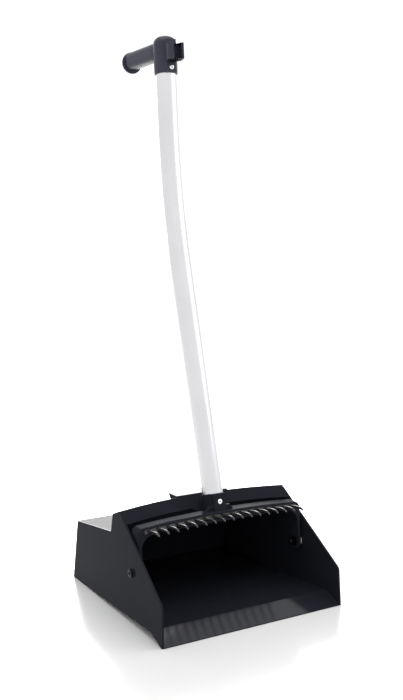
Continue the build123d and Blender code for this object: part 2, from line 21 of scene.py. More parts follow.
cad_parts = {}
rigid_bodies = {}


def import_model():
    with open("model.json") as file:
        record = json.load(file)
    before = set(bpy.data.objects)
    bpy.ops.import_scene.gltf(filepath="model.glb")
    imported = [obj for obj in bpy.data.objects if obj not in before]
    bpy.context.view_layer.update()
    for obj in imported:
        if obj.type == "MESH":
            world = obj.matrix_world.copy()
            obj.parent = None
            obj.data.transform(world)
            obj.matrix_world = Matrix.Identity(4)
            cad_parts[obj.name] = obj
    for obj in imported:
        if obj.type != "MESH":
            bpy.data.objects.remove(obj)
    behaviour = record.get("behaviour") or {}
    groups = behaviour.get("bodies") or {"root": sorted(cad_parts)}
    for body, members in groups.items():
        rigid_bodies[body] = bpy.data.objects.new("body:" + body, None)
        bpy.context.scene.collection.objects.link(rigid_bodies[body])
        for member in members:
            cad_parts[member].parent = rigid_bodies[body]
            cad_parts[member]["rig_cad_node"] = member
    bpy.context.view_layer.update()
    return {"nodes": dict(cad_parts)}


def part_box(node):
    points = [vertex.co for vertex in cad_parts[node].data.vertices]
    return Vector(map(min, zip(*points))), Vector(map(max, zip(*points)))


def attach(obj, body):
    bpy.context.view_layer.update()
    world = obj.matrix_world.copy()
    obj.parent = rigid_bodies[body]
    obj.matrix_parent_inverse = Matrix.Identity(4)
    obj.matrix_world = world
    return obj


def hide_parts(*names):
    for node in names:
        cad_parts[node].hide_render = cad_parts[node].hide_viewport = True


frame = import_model()

LOG = logging.getLogger("dustpan")
MM = 0.001
WELD = 0.002 * MM            # points of a CAD mesh closer than this are one
FINE_WELD = 0.001 * MM       # the same in meshes made here
RGBA = tuple[float, float, float, float]


# ------------------------------------------------------------------ small helpers
def linear(colour: str) -> RGBA:
    """Turn an sRGB hex colour into linear light.

    Args:
        colour: "#RRGGBB".

    Returns:
        Linear red, green and blue with an alpha of 1.
    """
    parts = [int(colour[i:i + 2], 16) / 255 for i in (1, 3, 5)]
    light = [c / 12.92 if c <= 0.04045 else ((c + 0.055) / 1.055) ** 2.4 for c in parts]
    return (*light, 1.0)


def add_node(tree: bpy.types.NodeTree, kind: str, settings: dict[str, Any] | None = None,
             inputs: dict[str | int, Any] | None = None) -> bpy.types.Node:
    """Add one node with its settings, and set or link its inputs.

    Args:
        tree: The tree that gets the node.
        kind: The node's type name.
        settings: Properties of the node.
        inputs: For each input's name or number, a value or the socket that feeds it.

    Returns:
        The new node.
    """
    made = tree.nodes.new(kind)
    for name, value in (settings or {}).items():
        setattr(made, name, value)
    for name, value in (inputs or {}).items():
        if isinstance(value, bpy.types.NodeSocket):
            tree.links.new(value, made.inputs[name])
        else:
            made.inputs[name].default_value = value
    return made


def link_object(name: str, data: bpy.types.ID) -> bpy.types.Object:
    """Put a mesh, light or camera into the scene as an object at the origin."""
    made = bpy.data.objects.new(name, data)
    bpy.context.scene.collection.objects.link(made)
    return made


def plain_mesh(piece: bpy.types.Object) -> bpy.types.Object:
    """Apply every modifier of a piece, so that only its final mesh is left.

    Args:
        piece: A mesh object.

    Returns:
        The same object with a plain mesh.
    """
    graph = bpy.context.evaluated_depsgraph_get()
    graph.update()
    final = bpy.data.meshes.new_from_object(piece.evaluated_get(graph), depsgraph=graph)
    piece.modifiers.clear()
    piece.data = final
    final.name = piece.name
    return piece


def smooth_shading(piece: bpy.types.Object, sharp_from: float = 35.0) -> bpy.types.Object:
    """Shade a piece smoothly, with flat faces kept flat by area-weighted normals.

    Args:
        piece: A mesh object with no modifiers.
        sharp_from: Edges that turn more than this many degrees stay sharp.

    Returns:
        The same object with its normals stored in the mesh.
    """
    piece.data.polygons.foreach_set("use_smooth", [True] * len(piece.data.polygons))
    piece.data.set_sharp_from_angle(angle=math.radians(sharp_from))
    weigh = piece.modifiers.new("weigh", "WEIGHTED_NORMAL")
    weigh.keep_sharp = True
    weigh.weight = 80
    return plain_mesh(piece)


def merged_copy(node: str) -> bmesh.types.BMesh:
    """Read a CAD node into an editable mesh whose loose triangles are joined.

    Args:
        node: The CAD node's name.

    Returns:
        The joined mesh, with flat areas made into single faces.
    """
    work = bmesh.new()
    work.from_mesh(frame["nodes"][node].data)
    bmesh.ops.remove_doubles(work, verts=work.verts, dist=WELD)
    bmesh.ops.dissolve_limit(work, angle_limit=math.radians(0.4), verts=work.verts, edges=work.edges)
    return work


def rounded_copy(node: str, name: str, radius: float, turn: float = 30.0) -> bpy.types.Object:
    """Copy a CAD node and round its sharp edges, as a mould leaves them.

    Args:
        node: The CAD node's name.
        name: Name of the new piece.
        radius: Width of the rounding in metres.
        turn: Edges that turn more than this many degrees are rounded.

    Returns:
        The new piece, smoothly shaded.
    """
    work = merged_copy(node)
    sharp = [e for e in work.edges if len(e.link_faces) == 2 and e.calc_face_angle() > math.radians(turn)]
    bmesh.ops.bevel(work, geom=sharp, offset=radius, offset_type="OFFSET", segments=3, profile=0.5,
                    affect="EDGES", clamp_overlap=False, loop_slide=True)
    bmesh.ops.remove_doubles(work, verts=work.verts, dist=WELD)
    mesh = bpy.data.meshes.new(name)
    work.to_mesh(mesh)
    work.free()
    return smooth_shading(link_object(name, mesh))


def melted_copy(node: str, name: str, voxel: float, passes: int) -> bpy.types.Object:
    """Copy a CAD node as one even skin whose creases and edges run softly into each other.

    Args:
        node: The CAD node's name.
        name: Name of the new piece.
        voxel: Size of the skin's faces in metres.
        passes: How often the skin is relaxed; more gives softer edges.

    Returns:
        The new piece, smoothly shaded.
    """
    work = merged_copy(node)
    bmesh.ops.triangulate(work, faces=work.faces)
    mesh = bpy.data.meshes.new(name)
    work.to_mesh(mesh)
    work.free()
    piece = link_object(name, mesh)
    skin = piece.modifiers.new("skin", "REMESH")
    skin.mode = "VOXEL"
    skin.voxel_size = voxel
    relax = piece.modifiers.new("relax", "CORRECTIVE_SMOOTH")
    relax.smooth_type = "SIMPLE"
    relax.iterations = passes
    relax.factor = 0.5
    relax.rest_source = "ORCO"
    relax.use_only_smooth = True
    plain_mesh(piece)
    piece.data.polygons.foreach_set("use_smooth", [True] * len(piece.data.polygons))
    return piece


def dress(piece: bpy.types.Object, material: bpy.types.Material) -> bpy.types.Object:
    """Give every face of a piece one material.

    Args:
        piece: A mesh object; a CAD node keeps its mesh and gets the material on its object's slots.
        material: The finish.

    Returns:
        The same object.
    """
    if not piece.material_slots:
        piece.data.materials.append(None)
    for place in piece.material_slots:
        place.link = "OBJECT" if "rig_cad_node" in piece else "DATA"
        place.material = material
    return piece


# ------------------------------------------------------------------ finishes
@dataclass(frozen=True)
class Finish(ABC):
    """A real material: what it is made of and how its surface was made."""

    name: str
    colour: str
    roughness: float

    @abstractmethod
    def surface(self, tree: bpy.types.NodeTree, shader: bpy.types.Node, place: bpy.types.NodeSocket) -> None:
        """Add the pattern of this material to its shader.

        Args:
            tree: The material's tree.
            shader: The Principled shader.
            place: Object coordinates in metres.
        """

    def material(self) -> bpy.types.Material:
        """Build the material, or return it when it is already there."""
        known = bpy.data.materials.get(self.name)
        if known:
            return known
        made = bpy.data.materials.new(self.name)
        made.use_nodes = True
        tree = made.node_tree
        shader = tree.nodes["Principled BSDF"]
        shader.inputs["Base Color"].default_value = linear(self.colour)
        shader.inputs["Roughness"].default_value = self.roughness
        made.diffuse_color = linear(self.colour)
        made.roughness = self.roughness
        place = add_node(tree, "ShaderNodeTexCoord").outputs["Object"]
        self.surface(tree, shader, place)
        return made


@dataclass(frozen=True)
class MouldedPlastic(Finish):
    """Injection-moulded plastic: a dark skin with flow marks, a fine spark-eroded grain and faint rubs.

    The eye sees a slow change of gloss, a soft ripple in the reflections and a grain only up close.
    """

    pale: str = "#15151A"
    ior: float = 1.49
    shine: float = 0.5           # the shader's specular level; below 0.5 is darker than the bare index gives
    grain: float = 0.9 * MM      # real grain is 0.2 mm; drawn coarser so that it shows
    grain_height: float = 0.012 * MM
    cloud: float = 45 * MM       # size of the slow changes of tone and gloss
    ripple: float = 60 * MM      # cooling makes large faces wave over this length
    ripple_height: float = 0.05 * MM
    rub_share: float = 0.25      # how much the rubs dull the gloss

    def surface(self, tree: bpy.types.NodeTree, shader: bpy.types.Node, place: bpy.types.NodeSocket) -> None:
        """Add flow marks, rubs, grain and ripple."""
        shader.inputs["IOR"].default_value = self.ior
        shader.inputs["Specular IOR Level"].default_value = self.shine
        cloud = add_node(tree, "ShaderNodeTexNoise", inputs={
            "Vector": place, "Scale": 1 / self.cloud, "Detail": 3.0, "Roughness": 0.5})
        tone = add_node(tree, "ShaderNodeMix", {"data_type": "RGBA"}, {
            0: cloud.outputs["Fac"], 6: linear(self.colour), 7: linear(self.pale)})
        tree.links.new(tone.outputs[2], shader.inputs["Base Color"])

        # Rubs run mostly across the piece, a hand's width long and under a millimetre wide.
        long_way = add_node(tree, "ShaderNodeMapping", inputs={
            "Vector": place, "Rotation": (0.3, 0.1, 0.5), "Scale": (18.0, 260.0, 420.0)})
        rub = add_node(tree, "ShaderNodeTexNoise", inputs={
            "Vector": long_way.outputs["Vector"], "Scale": 1.0, "Detail": 2.0})
        rubbed = add_node(tree, "ShaderNodeMapRange", inputs={
            "Value": rub.outputs["Fac"], "From Min": 0.56, "From Max": 0.78, "To Min": 0.0, "To Max": 1.0})
        dull = add_node(tree, "ShaderNodeMath", {"operation": "MULTIPLY_ADD"}, {
            0: rubbed.outputs["Result"], 1: self.rub_share * self.roughness, 2: self.roughness})
        flow = add_node(tree, "ShaderNodeMapRange", inputs={
            "Value": cloud.outputs["Fac"], "From Min": 0.3, "From Max": 0.7,
            "To Min": 0.88, "To Max": 1.14})
        gloss = add_node(tree, "ShaderNodeMath", {"operation": "MULTIPLY"}, {
            0: dull.outputs[0], 1: flow.outputs["Result"]})
        tree.links.new(gloss.outputs[0], shader.inputs["Roughness"])

        wave = add_node(tree, "ShaderNodeTexNoise", inputs={
            "Vector": place, "Scale": 1 / self.ripple, "Detail": 0.0})
        waved = add_node(tree, "ShaderNodeBump", inputs={
            "Height": wave.outputs["Fac"], "Distance": self.ripple_height, "Strength": 1.0})
        grain = add_node(tree, "ShaderNodeTexNoise", inputs={
            "Vector": place, "Scale": 1 / self.grain, "Detail": 2.0, "Roughness": 0.6})
        grained = add_node(tree, "ShaderNodeBump", inputs={
            "Height": grain.outputs["Fac"], "Distance": self.grain_height, "Strength": 0.6,
            "Normal": waved.outputs["Normal"]})
        tree.links.new(grained.outputs["Normal"], shader.inputs["Normal"])


@dataclass(frozen=True)
class AnodisedTube(Finish):
    """Drawn and satin-anodised aluminium: a pale, slightly milky metal with fine lines along the tube."""

    pale: str = "#F4F4F5"
    line_width: float = 0.5 * MM   # real draw lines are 0.1 mm; drawn coarser so that they show
    line_length: float = 120 * MM
    line_depth: float = 0.004 * MM
    milk: float = 70 * MM          # size of the clouds in the oxide

    def surface(self, tree: bpy.types.NodeTree, shader: bpy.types.Node, place: bpy.types.NodeSocket) -> None:
        """Add draw lines and the uneven milkiness of the oxide."""
        shader.inputs["Metallic"].default_value = 1.0
        shader.inputs["Anisotropic"].default_value = 0.25
        drawn = add_node(tree, "ShaderNodeMapping", inputs={
            "Vector": place, "Scale": (1 / self.line_width, 1 / self.line_width, 1 / self.line_length)})
        line = add_node(tree, "ShaderNodeTexNoise", inputs={
            "Vector": drawn.outputs["Vector"], "Scale": 1.0, "Detail": 2.0})
        milk = add_node(tree, "ShaderNodeTexNoise", inputs={
            "Vector": place, "Scale": 1 / self.milk, "Detail": 2.0})
        tone = add_node(tree, "ShaderNodeMix", {"data_type": "RGBA"}, {
            0: milk.outputs["Fac"], 6: linear(self.colour), 7: linear(self.pale)})
        tree.links.new(tone.outputs[2], shader.inputs["Base Color"])
        gloss = add_node(tree, "ShaderNodeMapRange", inputs={
            "Value": line.outputs["Fac"], "From Min": 0.25, "From Max": 0.75,
            "To Min": self.roughness * 0.85, "To Max": self.roughness * 1.2})
        tree.links.new(gloss.outputs["Result"], shader.inputs["Roughness"])
        cut = add_node(tree, "ShaderNodeBump", inputs={
            "Height": line.outputs["Fac"], "Distance": self.line_depth, "Strength": 0.5})
        tree.links.new(cut.outputs["Normal"], shader.inputs["Normal"])


@dataclass(frozen=True)
class PlatedMetal(Finish):
    """Pressed or turned metal with a thin plating: small clouds of gloss and a faint hammered skin."""

    pale: str = "#C9CBCE"
    cloud: float = 3 * MM
    skin: float = 0.6 * MM
    skin_depth: float = 0.006 * MM

    def surface(self, tree: bpy.types.NodeTree, shader: bpy.types.Node, place: bpy.types.NodeSocket) -> None:
        """Add the clouds of the plating and its fine skin."""
        shader.inputs["Metallic"].default_value = 1.0
        cloud = add_node(tree, "ShaderNodeTexNoise", inputs={
            "Vector": place, "Scale": 1 / self.cloud, "Detail": 3.0})
        tone = add_node(tree, "ShaderNodeMix", {"data_type": "RGBA"}, {
            0: cloud.outputs["Fac"], 6: linear(self.colour), 7: linear(self.pale)})
        tree.links.new(tone.outputs[2], shader.inputs["Base Color"])
        gloss = add_node(tree, "ShaderNodeMapRange", inputs={
            "Value": cloud.outputs["Fac"], "From Min": 0.3, "From Max": 0.7,
            "To Min": self.roughness * 0.8, "To Max": self.roughness * 1.25})
        tree.links.new(gloss.outputs["Result"], shader.inputs["Roughness"])
        skin = add_node(tree, "ShaderNodeTexNoise", inputs={
            "Vector": place, "Scale": 1 / self.skin, "Detail": 1.0})
        bump = add_node(tree, "ShaderNodeBump", inputs={
            "Height": skin.outputs["Fac"], "Distance": self.skin_depth, "Strength": 0.5})
        tree.links.new(bump.outputs["Normal"], shader.inputs["Normal"])


@dataclass(frozen=True)
class StudioSheet(Finish):
    """The white glossy sheet that the object stands on: part of its light is a soft mirror image."""

    mirror: float = 0.4

    def surface(self, tree: bpy.types.NodeTree, shader: bpy.types.Node, place: bpy.types.NodeSocket) -> None:
        """Let the sheet mirror softly, a little unevenly."""
        shader.inputs["Metallic"].default_value = self.mirror
        cloud = add_node(tree, "ShaderNodeTexNoise", inputs={"Vector": place, "Scale": 4.0, "Detail": 1.0})
        gloss = add_node(tree, "ShaderNodeMapRange", inputs={
            "Value": cloud.outputs["Fac"], "To Min": self.roughness * 0.95, "To Max": self.roughness * 1.05})
        tree.links.new(gloss.outputs["Result"], shader.inputs["Roughness"])


class Finishes(Enum):
    """Every finish of the dustpan and of its studio."""

    # Moulded polypropylene is near-black. The dark pieces' shine is far below the plastic's own, so that
    # they stay dark in a white surround.
    PAN = MouldedPlastic("gloss_moulded_polypropylene", "#18191E", 0.12, pale="#1D1E24", shine=0.015)
    # The faces that look up keep nearly the plastic's own shine and mirror what is behind them, while the
    # walls' shine is cut: a painted sheen that makes the tops of one plastic lighter than its walls.
    PAN_TOP = MouldedPlastic("polished_moulded_polypropylene", "#18191E", 0.12, pale="#1D1E24", shine=0.38)
    # The yoke is the same plastic with a duller skin.
    YOKE = MouldedPlastic("satin_moulded_polypropylene", "#1A1B20", 0.26, pale="#1F2026", shine=0.01,
                          ripple_height=0.02 * MM)
    # The comb is the same plastic again, in thin blades.
    COMB = MouldedPlastic("comb_polypropylene", "#1A1B20", 0.28, shine=0.03, ripple_height=0.0)
    # The grip is textured for the hand, so its reflections are broad and soft.
    GRIP = MouldedPlastic("textured_grip_polypropylene", "#30303B", 0.34, pale="#373743", shine=0.12,
                          grain=1.1 * MM, grain_height=0.03 * MM, ripple_height=0.0)
    # Nylon 6 is milky and waxy.
    NYLON = MouldedPlastic("natural_nylon", "#C9C4B4", 0.42, pale="#DAD6C8", ior=1.53, shine=0.5)
    TUBE = AnodisedTube("satin_anodised_aluminium", "#CECED0", 0.30, pale="#DEDEE0")
    RIVET = PlatedMetal("bright_aluminium", "#D9DADC", 0.22, pale="#F0F0F1")
    MANDREL = PlatedMetal("plain_steel", "#77787B", 0.35, pale="#96979A")
    ZINC = PlatedMetal("zinc_plated_steel", "#A9ACB0", 0.28)
    BLACK_ZINC = PlatedMetal("black_zinc_plated_steel", "#141416", 0.30, pale="#242428")
    SHEET = StudioSheet("white_gloss_sheet", "#FDFDFD", 0.22)

    def material(self) -> bpy.types.Material:
        """The Blender material of this finish."""
        return self.value.material()


# ------------------------------------------------------------------ geometry trees
class Kind(Enum):
    """Socket types of a tree's inputs."""

    GEOMETRY = "NodeSocketGeometry"
    NUMBER = "NodeSocketFloat"
    COUNT = "NodeSocketInt"
    OBJECT = "NodeSocketObject"
    MATERIAL = "NodeSocketMaterial"


class GeometryTree(ABC):
    """A Geometry Nodes tree with named inputs that turns a base mesh into a finished one."""

    name: str
    sizes: dict[str, Kind]

    def __init__(self) -> None:
        """Build the tree."""
        self.tree = bpy.data.node_groups.new(self.name, "GeometryNodeTree")
        face = self.tree.interface
        face.new_socket("Base", in_out="INPUT", socket_type=Kind.GEOMETRY.value)
        for name, kind in self.sizes.items():
            face.new_socket(name, in_out="INPUT", socket_type=kind.value)
        face.new_socket("Material", in_out="INPUT", socket_type=Kind.MATERIAL.value)
        face.new_socket("Result", in_out="OUTPUT", socket_type=Kind.GEOMETRY.value)
        given = add_node(self.tree, "NodeGroupInput").outputs
        shape = self.shape(given)
        real = add_node(self.tree, "GeometryNodeRealizeInstances", inputs={"Geometry": shape})
        dressed = add_node(self.tree, "GeometryNodeSetMaterial", inputs={
            "Geometry": real.outputs["Geometry"], "Material": given["Material"]})
        add_node(self.tree, "NodeGroupOutput", inputs={"Result": dressed.outputs["Geometry"]})

    @abstractmethod
    def shape(self, given: Any) -> bpy.types.NodeSocket:
        """Add this tree's own nodes.

        Args:
            given: The tree's inputs, by name.

        Returns:
            The geometry that they make.
        """

    def apply(self, base: bpy.types.Object, finish: Finishes, values: dict[str, Any]) -> bpy.types.Object:
        """Run the tree on a base object and keep the result as a plain mesh.

        Args:
            base: The object whose mesh is the tree's base.
            finish: The finish of the result.
            values: The value of each named input.

        Returns:
            The base object with the result as its mesh.
        """
        step = base.modifiers.new(self.name, "NODES")
        step.node_group = self.tree
        ask = {s.name: s.identifier for s in self.tree.interface.items_tree if s.in_out == "INPUT"}
        for name, value in {**values, "Material": finish.material()}.items():
            step[ask[name]] = value
        return plain_mesh(base)


class TubeTree(GeometryTree):
    """Sweeps a round section along the base mesh's line."""

    name = "swept_tube"
    sizes = {"Radius": Kind.NUMBER, "Sides": Kind.COUNT}

    def shape(self, given: Any) -> bpy.types.NodeSocket:
        """Sweep a circle of the given radius along the line."""
        line = add_node(self.tree, "GeometryNodeMeshToCurve", inputs={"Mesh": given["Base"]})
        ring = add_node(self.tree, "GeometryNodeCurvePrimitiveCircle", inputs={
            "Resolution": given["Sides"], "Radius": given["Radius"]})
        swept = add_node(self.tree, "GeometryNodeCurveToMesh", inputs={
            "Curve": line.outputs["Curve"], "Profile Curve": ring.outputs["Curve"]})
        return swept.outputs["Mesh"]


class CombTree(GeometryTree):
    """Repeats the base tooth along an arched bar."""

    name = "arched_comb"
    sizes = {"Teeth": Kind.COUNT, "Pitch": Kind.NUMBER, "Arch": Kind.NUMBER, "Half Span": Kind.NUMBER}

    def shape(self, given: Any) -> bpy.types.NodeSocket:
        """Set a tooth at each step of the arch, in the middle of the bar at x = 0."""
        gaps = add_node(self.tree, "ShaderNodeMath", {"operation": "SUBTRACT"}, {
            0: given["Teeth"], 1: 1.0})
        reach = add_node(self.tree, "ShaderNodeMath", {"operation": "MULTIPLY"}, {
            0: gaps.outputs[0], 1: given["Pitch"]})
        first = add_node(self.tree, "ShaderNodeMath", {"operation": "MULTIPLY"}, {
            0: reach.outputs[0], 1: -0.5})
        start = add_node(self.tree, "ShaderNodeCombineXYZ", inputs={"X": first.outputs[0]})
        step = add_node(self.tree, "ShaderNodeCombineXYZ", inputs={"X": given["Pitch"]})
        row = add_node(self.tree, "GeometryNodeMeshLine", {"mode": "OFFSET"}, {
            "Count": given["Teeth"], "Start Location": start.outputs[0], "Offset": step.outputs[0]})
        here = add_node(self.tree, "GeometryNodeInputPosition")
        split = add_node(self.tree, "ShaderNodeSeparateXYZ", inputs={0: here.outputs[0]})
        share = add_node(self.tree, "ShaderNodeMath", {"operation": "DIVIDE"}, {
            0: split.outputs["X"], 1: given["Half Span"]})
        square = add_node(self.tree, "ShaderNodeMath", {"operation": "MULTIPLY"}, {
            0: share.outputs[0], 1: share.outputs[0]})
        drop = add_node(self.tree, "ShaderNodeMath", {"operation": "MULTIPLY"}, {
            0: square.outputs[0], 1: given["Arch"]})
        down = add_node(self.tree, "ShaderNodeMath", {"operation": "MULTIPLY"}, {
            0: drop.outputs[0], 1: -1.0})
        move = add_node(self.tree, "ShaderNodeCombineXYZ", inputs={"Z": down.outputs[0]})
        arch = add_node(self.tree, "GeometryNodeSetPosition", inputs={
            "Geometry": row.outputs["Mesh"], "Offset": move.outputs[0]})
        teeth = add_node(self.tree, "GeometryNodeInstanceOnPoints", inputs={
            "Points": arch.outputs["Geometry"], "Instance": given["Base"]})
        return teeth.outputs["Instances"]


class SeatTree(GeometryTree):
    """Sets one turned piece on each vertex of the base, with its axis along the vertex's seat direction."""

    name = "pieces_on_seats"
    sizes = {"Piece": Kind.OBJECT}
    direction = "seat_axis"

    def shape(self, given: Any) -> bpy.types.NodeSocket:
        """Turn the piece's +Z to each seat's direction."""
        axis = add_node(self.tree, "GeometryNodeInputNamedAttribute", {"data_type": "FLOAT_VECTOR"}, {
            "Name": self.direction})
        turn = add_node(self.tree, "FunctionNodeAlignRotationToVector", {"axis": "Z"}, {
            "Vector": axis.outputs["Attribute"]})
        piece = add_node(self.tree, "GeometryNodeObjectInfo", inputs={"Object": given["Piece"]})
        seated = add_node(self.tree, "GeometryNodeInstanceOnPoints", inputs={
            "Points": given["Base"], "Instance": piece.outputs["Geometry"],
            "Rotation": turn.outputs["Rotation"]})
        return seated.outputs["Instances"]

    def seat(self, name: str, piece: bpy.types.Object, seats: list[tuple[Vector, Vector]],
             finish: Finishes) -> bpy.types.Object:
        """Put copies of a piece on seats.

        Args:
            name: Name of the result.
            piece: The piece, with its foot at the origin and its axis along +Z; it is used up.
            seats: A point and an outward direction for each copy.
            finish: The finish of the copies.

        Returns:
            One mesh object with every copy.
        """
        mesh = bpy.data.meshes.new(name)
        mesh.from_pydata([tuple(point) for point, _ in seats], [], [])
        axes = mesh.attributes.new(self.direction, "FLOAT_VECTOR", "POINT")
        for spot, (_, axis) in zip(axes.data, seats):
            spot.vector = axis
        made = self.apply(link_object(name, mesh), finish, {"Piece": piece})
        bpy.data.objects.remove(piece)
        return made


def turned(name: str, outline: list[tuple[float, float]], steps: int = 48) -> bpy.types.Object:
    """Turn an outline about +Z into a closed piece.

    Args:
        name: Name of the piece.
        outline: Radius and height of each point, from the axis round to the axis.
        steps: Number of faces round the axis.

    Returns:
        The piece, with its normals outwards.
    """
    work = bmesh.new()
    line = [work.verts.new((radius, 0.0, height)) for radius, height in outline]
    edges = [work.edges.new(pair) for pair in zip(line, line[1:])]
    bmesh.ops.spin(work, geom=line + edges, cent=(0, 0, 0), axis=(0, 0, 1), angle=math.tau, steps=steps)
    bmesh.ops.remove_doubles(work, verts=work.verts, dist=FINE_WELD)
    bmesh.ops.recalc_face_normals(work, faces=work.faces)
    mesh = bpy.data.meshes.new(name)
    work.to_mesh(mesh)
    work.free()
    return link_object(name, mesh)


# ------------------------------------------------------------------ sub-assemblies
@dataclass
class Pan:
    """The hooded pan with the hinge hardware that stays on it."""

    body: str = "pan"
    edge: float = 0.5 * MM
    top_slope: float = 0.85      # upward share of the normal from which a face counts as a top

    def give_tops_sheen(self, shell: bpy.types.Object) -> None:
        """Give the faces that look up the shinier copy of the plastic, a painted sheen that makes the tops
        lighter than the walls.

        Args:
            shell: The pan's shell, already dressed in its grained finish.
        """
        shell.data.materials.append(Finishes.PAN_TOP.material())
        sheen_slot = len(shell.data.materials) - 1
        for face in shell.data.polygons:
            if face.normal.z > self.top_slope:
                face.material_index = sheen_slot

    def build(self) -> list[bpy.types.Object]:
        """Make the shell and return the pan's pieces."""
        shell = rounded_copy("pan_shell", "pan_moulding", self.edge)
        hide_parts("pan_shell")
        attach(dress(shell, Finishes.PAN.material()), self.body)
        # Painted sheen: the up-facing faces get the shinier copy of the same plastic.
        self.give_tops_sheen(shell)
        return [shell, *self.dress_hardware()]

    def dress_hardware(self) -> list[bpy.types.Object]:
        """Give the bolts, washers, sleeves and nuts their metals and nylon."""
        finishes = {"bolt": Finishes.BLACK_ZINC, "washer": Finishes.NYLON,
                    "sleeve": Finishes.ZINC, "nut": Finishes.BLACK_ZINC}
        pieces = []
        for hand in ("left", "right"):
            for word, finish in finishes.items():
                pieces.append(dress(frame["nodes"][f"{hand}_pivot_{word}"], finish.material()))
        return pieces


@dataclass
class Comb:
    """The strip of hooked teeth in the yoke's bar.

    Heights are counted from the bar's top at mid width, lengths along Y from the strip's front face.
    """

    body: str = "handle"
    teeth: int = 17
    pitch: float = 15.5 * MM
    arch: float = 5.2 * MM
    half_span: float = 132 * MM
    bar_top: float = 146 * MM
    rail_half: float = 130.95 * MM
    rail_drop: float = 3.05 * MM
    rail_high: float = 5.9 * MM
    rail_out: float = 0.8 * MM
    rail_in: float = 3.9 * MM
    # Reach in front of the strip, height of the tooth's middle, thickness across and thickness up.
    rings: tuple[tuple[float, float, float, float], ...] = (
        (-1.0, -6.4, 4.8, 5.0), (0.0, -6.4, 4.8, 5.0), (1.2, -6.1, 4.0, 4.8), (3.0, -5.7, 3.6, 4.6),
        (7.0, -4.9, 3.4, 4.4), (12.0, -3.9, 3.4, 4.3), (17.0, -3.2, 3.3, 4.0), (22.0, -2.8, 3.2, 3.7),
        (26.0, -2.8, 3.1, 3.3), (29.0, -3.2, 2.9, 2.8), (31.0, -4.0, 2.5, 2.2), (32.0, -4.6, 2.1, 1.8),
        (32.6, -5.1, 1.4, 1.2),
    )
    corner_points: int = 4
    corner_share: float = 0.55   # share of a section's half size that its rounded corners take
    rail_edge: float = 0.35 * MM
    snug: float = 0.05 * MM      # room between the strip and its groove

    def front(self) -> float:
        """Y of the bar's front face, where the teeth leave the strip."""
        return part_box("comb_strip")[1].y - self.rail_in - self.snug

    def ring(self, tooth: bmesh.types.BMesh, middle: Vector, across: Vector,
             up: Vector) -> list[bmesh.types.BMVert]:
        """One rounded-rectangle section of a tooth.

        Args:
            tooth: The mesh that gets the points.
            middle: The section's middle.
            across: Half of its thickness along X.
            up: Half of its height, square to the tooth.

        Returns:
            The section's points in order.
        """
        points = []
        round_off = self.corner_share
        for quarter in range(4):
            for step in range(self.corner_points):
                turn = math.radians(90 * quarter + 90 * step / (self.corner_points - 1))
                side = (1, -1, -1, 1)[quarter]
                level = (1, 1, -1, -1)[quarter]
                a = side * (1 - round_off) + round_off * math.cos(turn)
                b = level * (1 - round_off) + round_off * math.sin(turn)
                points.append(tooth.verts.new(middle + across * a + up * b))
        return points

    def tooth(self) -> bpy.types.Object:
        """Loft one tooth through its sections, from its flared root to its hooked tip."""
        work = bmesh.new()
        middles = [Vector((0, self.front() - out * MM, self.bar_top + high * MM))
                   for out, high, _, _ in self.rings]
        sections = []
        for k, (_, _, wide, high) in enumerate(self.rings):
            run = middles[min(k + 1, len(middles) - 1)] - middles[max(k - 1, 0)]
            up = run.normalized().cross(Vector((1, 0, 0)))
            across = Vector((wide * MM / 2, 0, 0))
            sections.append(self.ring(work, middles[k], across, up * (high * MM / 2)))
        for near, far in zip(sections, sections[1:]):
            for k in range(len(near)):
                after = (k + 1) % len(near)
                work.faces.new((near[k], near[after], far[after], far[k]))
        work.faces.new(sections[0])
        work.faces.new(sections[-1])
        bmesh.ops.remove_doubles(work, verts=work.verts, dist=FINE_WELD)
        bmesh.ops.recalc_face_normals(work, faces=work.faces)
        mesh = bpy.data.meshes.new("comb_teeth")
        work.to_mesh(mesh)
        work.free()
        return link_object("comb_teeth", mesh)

    def rail(self, work: bmesh.types.BMesh, columns: int = 66) -> None:
        """Add the arched rail that carries the teeth.

        Args:
            work: The mesh that gets the rail.
            columns: Number of steps along the arch.
        """
        front, back = self.front() - self.rail_out, self.front() + self.rail_in
        rows = []
        for k in range(columns + 1):
            x = self.rail_half * (2 * k / columns - 1)
            top = self.bar_top - self.arch * (x / self.half_span) ** 2 - self.rail_drop
            corners = ((front, top), (back, top), (back, top - self.rail_high), (front, top - self.rail_high))
            rows.append([work.verts.new((x, y, z)) for y, z in corners])
        for near, far in zip(rows, rows[1:]):
            for k in range(4):
                after = (k + 1) % 4
                work.faces.new((near[k], far[k], far[after], near[after]))
        work.faces.new(rows[0])
        work.faces.new(rows[-1])
        bmesh.ops.recalc_face_normals(work, faces=work.faces)
        sharp = [e for e in work.edges if e.calc_face_angle() > math.radians(30)]
        bmesh.ops.bevel(work, geom=sharp, offset=self.rail_edge, offset_type="OFFSET", segments=2,
                        profile=0.5, affect="EDGES", clamp_overlap=True)

    def build(self) -> list[bpy.types.Object]:
        """Make the strip as one piece: the rail and its row of teeth."""
        row = CombTree().apply(self.tooth(), Finishes.COMB, {
            "Teeth": self.teeth, "Pitch": self.pitch, "Arch": self.arch, "Half Span": self.half_span})
        work = bmesh.new()
        self.rail(work)
        work.from_mesh(row.data)
        mesh = bpy.data.meshes.new("comb_moulding")
        work.to_mesh(mesh)
        work.free()
        bpy.data.objects.remove(row)
        strip = smooth_shading(link_object("comb_moulding", mesh), 45.0)
        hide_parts("comb_strip")
        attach(dress(strip, Finishes.COMB.material()), self.body)
        return [strip]


